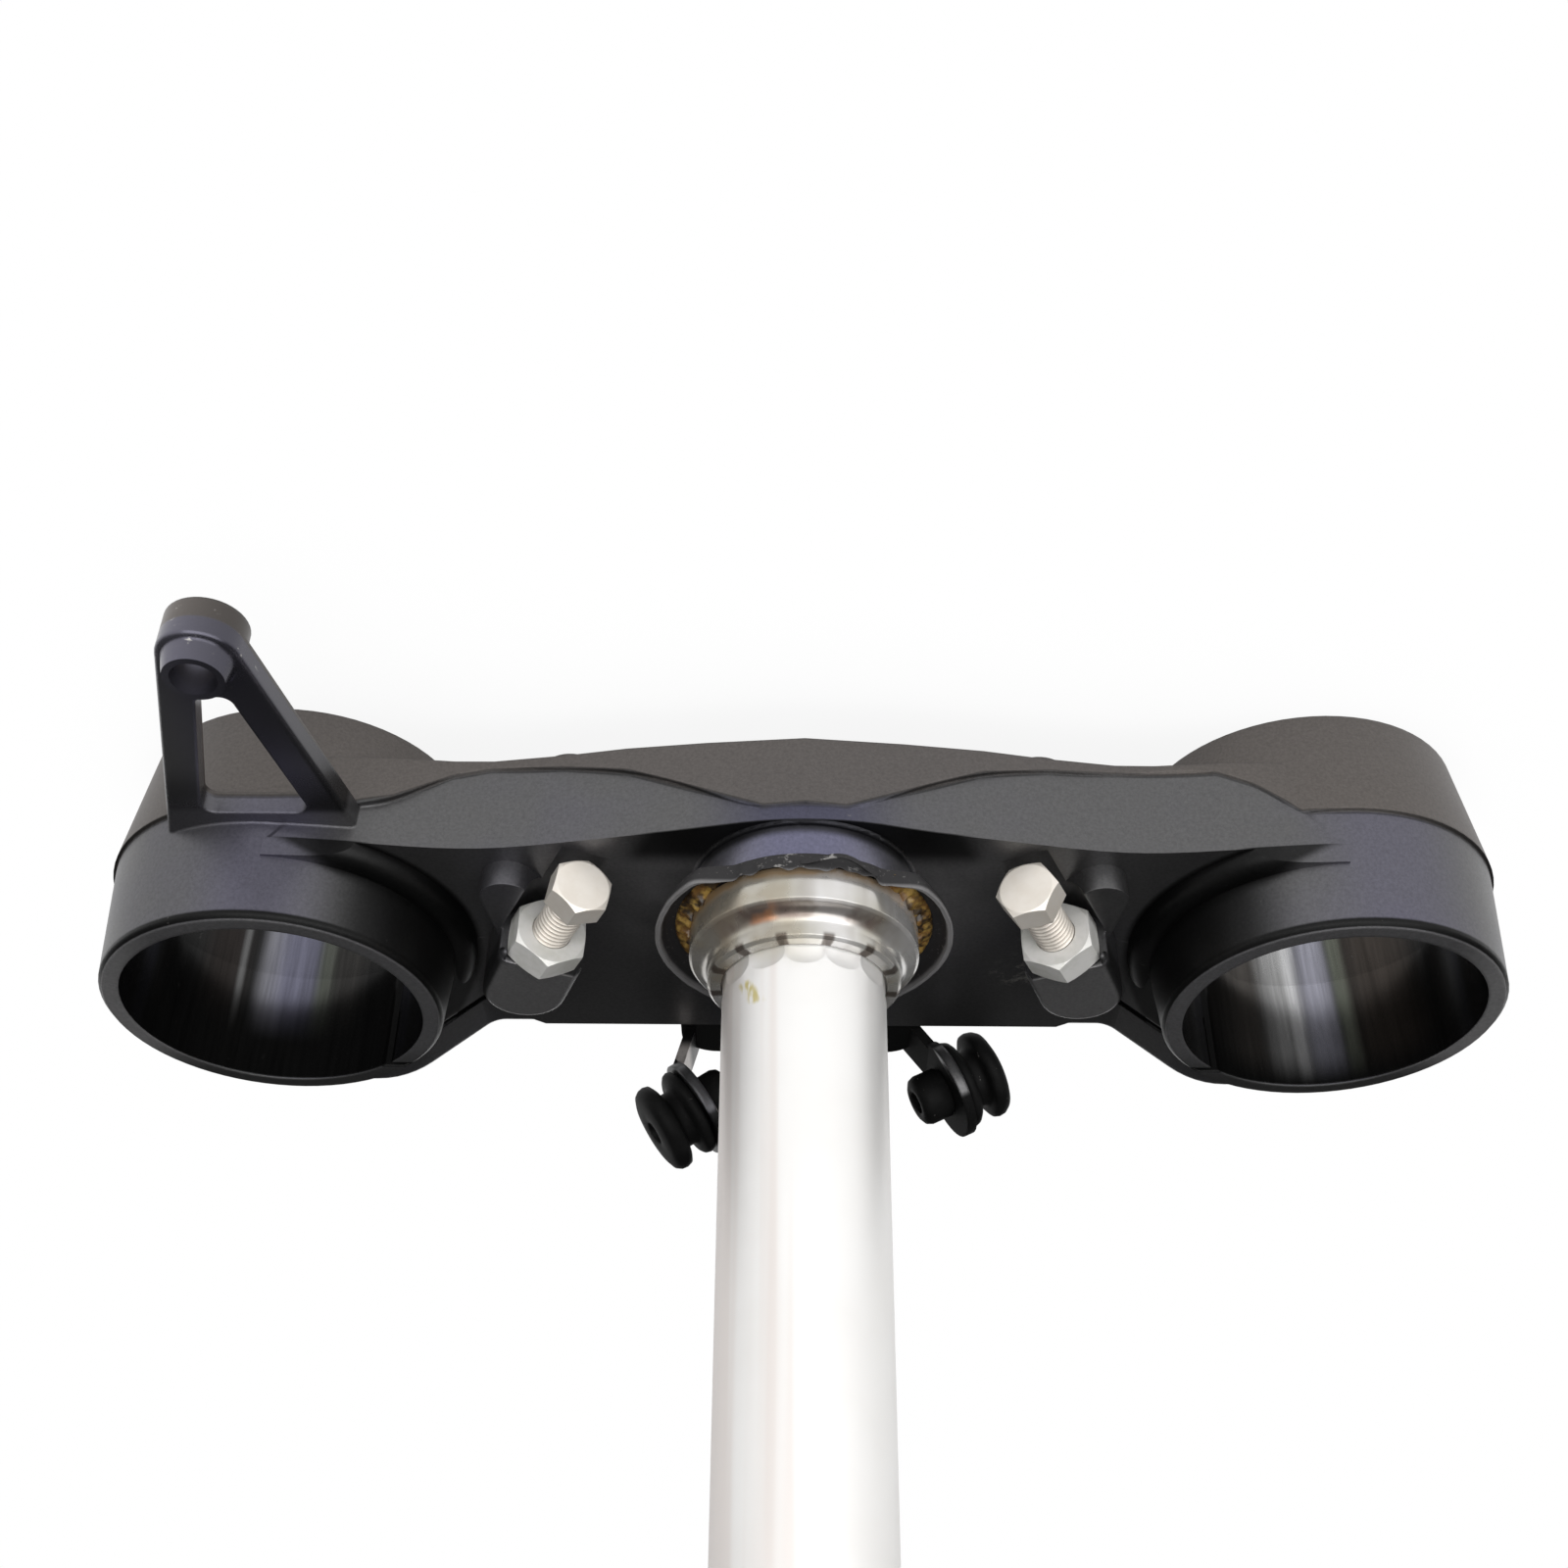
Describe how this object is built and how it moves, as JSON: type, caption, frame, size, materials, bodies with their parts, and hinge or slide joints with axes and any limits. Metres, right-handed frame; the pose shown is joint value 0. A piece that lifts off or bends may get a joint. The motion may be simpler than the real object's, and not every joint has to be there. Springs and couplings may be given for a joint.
{
  "type": "motorcycle lower triple clamp with steering stem",
  "caption": "Forged lower fork clamp with two split fork bores, an upright steering stem, steering stops, a hose bracket and rubber grommets.",
  "frame": {"origin": "on the steering axis, in the face of the boss that the lower bearing sits on", "axes": "+Z along the steering stem to its free end, +Y to the front of the motorcycle, +X to the rider's right"},
  "size_m": [0.287, 0.147, 0.234],
  "materials": {
    "black_anodised": "satin black anodised forging",
    "bright_aluminium": "turned and polished",
    "bearing_steel": "ground, with dried grease",
    "seal_rubber": "worn matte",
    "nickel_bolt": "nickel plated",
    "zinc_nut": "zinc plated",
    "black_bolt": "black oxide",
    "grommet_rubber": "matte"
  },
  "bodies": {
    "root": {"lower_clamp": "black_anodised", "steering_stem": "bright_aluminium", "lower_bearing_race": "bearing_steel", "dust_seal": "seal_rubber", "stop_bolt_right": "nickel_bolt", "stop_lock_nut_right": "zinc_nut", "grommet_right": "grommet_rubber", "pinch_bolt_right_upper": "black_bolt", "pinch_bolt_right_lower": "black_bolt", "stop_bolt_left": "nickel_bolt", "stop_lock_nut_left": "zinc_nut", "grommet_left": "grommet_rubber", "pinch_bolt_left_upper": "black_bolt", "pinch_bolt_left_lower": "black_bolt"}
  },
  "joints": []
}
